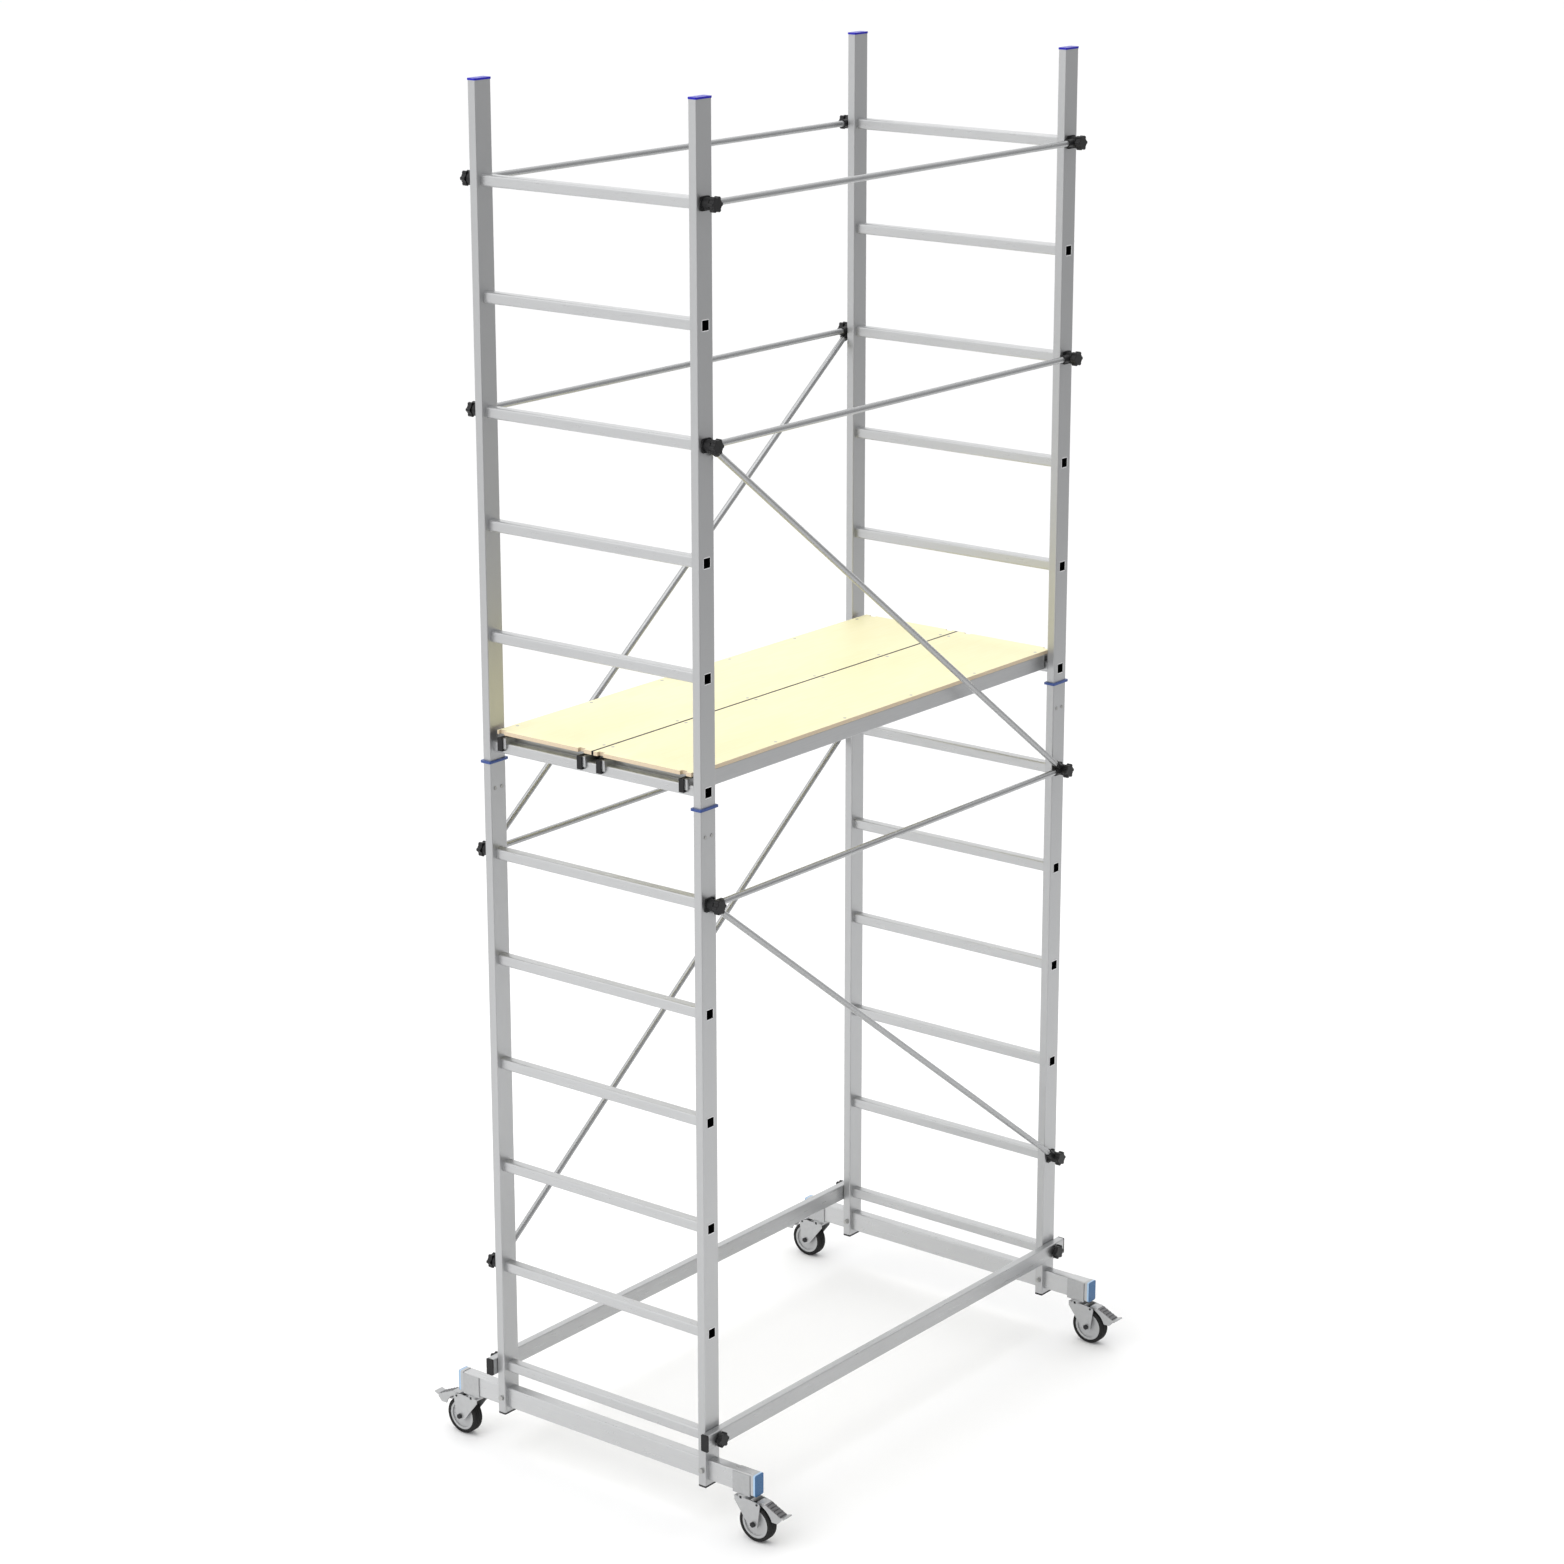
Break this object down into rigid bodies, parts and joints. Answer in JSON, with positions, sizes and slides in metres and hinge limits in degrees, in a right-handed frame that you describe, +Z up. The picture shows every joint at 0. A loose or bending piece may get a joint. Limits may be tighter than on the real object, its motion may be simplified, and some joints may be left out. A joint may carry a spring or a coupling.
{
  "type": "frame scaffold section",
  "caption": "Rolling aluminium frame scaffold: two ladder end frames joined by braces and base rails, a lift-off plywood deck, and braked swivel casters on crossbeams",
  "frame": {"origin": "On the floor, at the centre of the four casters.", "axes": "+Z is up, X runs along the deck from the left to the right end frame, Y runs across the end frames from front to back."},
  "size_m": [1.58, 1.184, 3.5605],
  "materials": {
    "stile_aluminium": "extruded, mill finish",
    "rung_aluminium": "extruded, mill finish",
    "spigot_aluminium": "mill finish",
    "blue_collar": "moulded blue",
    "blue_cap": "moulded royal blue",
    "black_rubber": "moulded",
    "beam_aluminium": "extruded, mill finish",
    "blue_beam_cap": "moulded blue",
    "zinc_steel": "zinc plated",
    "black_plastic": "moulded, fine grain",
    "brace_aluminium": "drawn tube",
    "grey_steel": "zinc plated, dark grey",
    "fork_steel": "zinc plated pressing",
    "wheel_grey": "moulded light grey",
    "black_tyre": "solid rubber tread",
    "pedal_dark": "dark zinc with black tread",
    "plywood": "film coated pale plywood",
    "deck_aluminium": "mill finish",
    "knob_black": "moulded, semi gloss"
  },
  "bodies": {
    "tower": {"lower_stiles": "stile_aluminium", "upper_stiles": "stile_aluminium", "lower_rungs": "rung_aluminium", "upper_rungs": "rung_aluminium", "spigots": "spigot_aluminium", "spigot_collars": "blue_collar", "top_caps": "blue_cap", "foot_plugs": "black_rubber", "crossbeams": "beam_aluminium", "crossbeam_caps": "blue_beam_cap", "frame_fasteners": "zinc_steel", "base_rails": "beam_aluminium", "base_rail_plugs": "black_plastic", "horizontal_braces": "brace_aluminium", "diagonal_braces": "brace_aluminium", "brace_hubs": "black_plastic", "rung_inserts": "spigot_aluminium", "caster_saddles": "grey_steel"},
    "caster_left_front": {"caster_fork_left_front": "fork_steel"},
    "wheel_left_front": {"caster_wheel_left_front": "wheel_grey", "caster_tyre_left_front": "black_tyre"},
    "pedal_left_front": {"brake_pedal_left_front": "pedal_dark"},
    "caster_left_back": {"caster_fork_left_back": "fork_steel"},
    "wheel_left_back": {"caster_wheel_left_back": "wheel_grey", "caster_tyre_left_back": "black_tyre"},
    "pedal_left_back": {"brake_pedal_left_back": "pedal_dark"},
    "caster_right_front": {"caster_fork_right_front": "fork_steel"},
    "wheel_right_front": {"caster_wheel_right_front": "wheel_grey", "caster_tyre_right_front": "black_tyre"},
    "pedal_right_front": {"brake_pedal_right_front": "pedal_dark"},
    "caster_right_back": {"caster_fork_right_back": "fork_steel"},
    "wheel_right_back": {"caster_wheel_right_back": "wheel_grey", "caster_tyre_right_back": "black_tyre"},
    "pedal_right_back": {"brake_pedal_right_back": "pedal_dark"},
    "deck_front": {"deck_board_front": "plywood", "deck_frame_front": "deck_aluminium", "deck_hooks_front": "black_plastic", "deck_screws_front": "zinc_steel"},
    "deck_back": {"deck_board_back": "plywood", "deck_frame_back": "deck_aluminium", "deck_hooks_back": "black_plastic", "deck_screws_back": "zinc_steel"},
    "knob_left_front_rung1": {"knob_left_front_rung1": "knob_black"},
    "knob_right_back_rung1": {"knob_right_back_rung1": "knob_black"},
    "knob_left_front_rung3": {"knob_left_front_rung3": "knob_black"},
    "knob_right_back_rung3": {"knob_right_back_rung3": "knob_black"},
    "knob_left_front_rung7": {"knob_left_front_rung7": "knob_black"},
    "knob_right_back_rung7": {"knob_right_back_rung7": "knob_black"},
    "knob_left_front_rung12": {"knob_left_front_rung12": "knob_black"},
    "knob_right_back_rung12": {"knob_right_back_rung12": "knob_black"},
    "knob_right_front_rung1": {"knob_right_front_rung1": "knob_black"},
    "knob_left_back_rung1": {"knob_left_back_rung1": "knob_black"},
    "knob_right_front_rung3": {"knob_right_front_rung3": "knob_black"},
    "knob_left_back_rung3": {"knob_left_back_rung3": "knob_black"},
    "knob_right_front_rung7": {"knob_right_front_rung7": "knob_black"},
    "knob_left_back_rung7": {"knob_left_back_rung7": "knob_black"},
    "knob_right_front_rung11": {"knob_right_front_rung11": "knob_black"},
    "knob_left_back_rung11": {"knob_left_back_rung11": "knob_black"},
    "knob_right_front_rung12": {"knob_right_front_rung12": "knob_black"},
    "knob_left_back_rung12": {"knob_left_back_rung12": "knob_black"}
  },
  "joints": [
    {"name": "swivel_left_front", "type": "hinge", "parent": "tower", "child": "caster_left_front", "pos_m": [-0.744, -0.456, 0.111], "axis": [0, 0, 1], "continuous": true},
    {"name": "roll_left_front", "type": "hinge", "parent": "caster_left_front", "child": "wheel_left_front", "pos_m": [-0.744, -0.496, 0.05], "axis": [1, 0, 0], "continuous": true},
    {"name": "brake_left_front", "type": "hinge", "parent": "caster_left_front", "child": "pedal_left_front", "pos_m": [-0.744, -0.507, 0.106], "axis": [1, 0, 0], "range_deg": [0, 6.5]},
    {"name": "swivel_left_back", "type": "hinge", "parent": "tower", "child": "caster_left_back", "pos_m": [-0.744, 0.456, 0.111], "axis": [0, 0, 1], "continuous": true},
    {"name": "roll_left_back", "type": "hinge", "parent": "caster_left_back", "child": "wheel_left_back", "pos_m": [-0.744, 0.496, 0.05], "axis": [1, 0, 0], "continuous": true},
    {"name": "brake_left_back", "type": "hinge", "parent": "caster_left_back", "child": "pedal_left_back", "pos_m": [-0.744, 0.507, 0.106], "axis": [-1, 0, 0], "range_deg": [0, 6.5]},
    {"name": "swivel_right_front", "type": "hinge", "parent": "tower", "child": "caster_right_front", "pos_m": [0.744, -0.456, 0.111], "axis": [0, 0, 1], "continuous": true},
    {"name": "roll_right_front", "type": "hinge", "parent": "caster_right_front", "child": "wheel_right_front", "pos_m": [0.744, -0.496, 0.05], "axis": [1, 0, 0], "continuous": true},
    {"name": "brake_right_front", "type": "hinge", "parent": "caster_right_front", "child": "pedal_right_front", "pos_m": [0.744, -0.507, 0.106], "axis": [1, 0, 0], "range_deg": [0, 6.5]},
    {"name": "swivel_right_back", "type": "hinge", "parent": "tower", "child": "caster_right_back", "pos_m": [0.744, 0.456, 0.111], "axis": [0, 0, 1], "continuous": true},
    {"name": "roll_right_back", "type": "hinge", "parent": "caster_right_back", "child": "wheel_right_back", "pos_m": [0.744, 0.496, 0.05], "axis": [1, 0, 0], "continuous": true},
    {"name": "brake_right_back", "type": "hinge", "parent": "caster_right_back", "child": "pedal_right_back", "pos_m": [0.744, 0.507, 0.106], "axis": [-1, 0, 0], "range_deg": [0, 6.5]},
    {"name": "lift_off_deck_front", "type": "slide", "parent": "tower", "child": "deck_front", "axis": [0, 0, 1], "range_m": [0, 0.15]},
    {"name": "lift_off_deck_back", "type": "slide", "parent": "tower", "child": "deck_back", "axis": [0, 0, 1], "range_m": [0, 0.15]},
    {"name": "turn_knob_left_front_rung1", "type": "hinge", "parent": "tower", "child": "knob_left_front_rung1", "pos_m": [-0.744, -0.37, 3.3195], "axis": [0, -1, 0], "continuous": true},
    {"name": "turn_knob_right_back_rung1", "type": "hinge", "parent": "tower", "child": "knob_right_back_rung1", "pos_m": [0.744, 0.37, 3.3195], "axis": [0, 1, 0], "continuous": true},
    {"name": "turn_knob_left_front_rung3", "type": "hinge", "parent": "tower", "child": "knob_left_front_rung3", "pos_m": [-0.744, -0.37, 2.7595], "axis": [0, -1, 0], "continuous": true},
    {"name": "turn_knob_right_back_rung3", "type": "hinge", "parent": "tower", "child": "knob_right_back_rung3", "pos_m": [0.744, 0.37, 2.7595], "axis": [0, 1, 0], "continuous": true},
    {"name": "turn_knob_left_front_rung7", "type": "hinge", "parent": "tower", "child": "knob_left_front_rung7", "pos_m": [-0.744, -0.37, 1.6395], "axis": [0, -1, 0], "continuous": true},
    {"name": "turn_knob_right_back_rung7", "type": "hinge", "parent": "tower", "child": "knob_right_back_rung7", "pos_m": [0.744, 0.37, 1.6395], "axis": [0, 1, 0], "continuous": true},
    {"name": "turn_knob_left_front_rung12", "type": "hinge", "parent": "tower", "child": "knob_left_front_rung12", "pos_m": [-0.744, -0.37, 0.2395], "axis": [0, -1, 0], "continuous": true},
    {"name": "turn_knob_right_back_rung12", "type": "hinge", "parent": "tower", "child": "knob_right_back_rung12", "pos_m": [0.744, 0.37, 0.2395], "axis": [0, 1, 0], "continuous": true},
    {"name": "turn_knob_right_front_rung1", "type": "hinge", "parent": "tower", "child": "knob_right_front_rung1", "pos_m": [0.744, -0.37, 3.3195], "axis": [0, -1, 0], "continuous": true},
    {"name": "turn_knob_left_back_rung1", "type": "hinge", "parent": "tower", "child": "knob_left_back_rung1", "pos_m": [-0.744, 0.37, 3.3195], "axis": [0, 1, 0], "continuous": true},
    {"name": "turn_knob_right_front_rung3", "type": "hinge", "parent": "tower", "child": "knob_right_front_rung3", "pos_m": [0.744, -0.37, 2.7595], "axis": [0, -1, 0], "continuous": true},
    {"name": "turn_knob_left_back_rung3", "type": "hinge", "parent": "tower", "child": "knob_left_back_rung3", "pos_m": [-0.744, 0.37, 2.7595], "axis": [0, 1, 0], "continuous": true},
    {"name": "turn_knob_right_front_rung7", "type": "hinge", "parent": "tower", "child": "knob_right_front_rung7", "pos_m": [0.744, -0.37, 1.6395], "axis": [0, -1, 0], "continuous": true},
    {"name": "turn_knob_left_back_rung7", "type": "hinge", "parent": "tower", "child": "knob_left_back_rung7", "pos_m": [-0.744, 0.37, 1.6395], "axis": [0, 1, 0], "continuous": true},
    {"name": "turn_knob_right_front_rung11", "type": "hinge", "parent": "tower", "child": "knob_right_front_rung11", "pos_m": [0.744, -0.37, 0.5195], "axis": [0, -1, 0], "continuous": true},
    {"name": "turn_knob_left_back_rung11", "type": "hinge", "parent": "tower", "child": "knob_left_back_rung11", "pos_m": [-0.744, 0.37, 0.5195], "axis": [0, 1, 0], "continuous": true},
    {"name": "turn_knob_right_front_rung12", "type": "hinge", "parent": "tower", "child": "knob_right_front_rung12", "pos_m": [0.744, -0.37, 0.2395], "axis": [0, -1, 0], "continuous": true},
    {"name": "turn_knob_left_back_rung12", "type": "hinge", "parent": "tower", "child": "knob_left_back_rung12", "pos_m": [-0.744, 0.37, 0.2395], "axis": [0, 1, 0], "continuous": true}
  ]
}
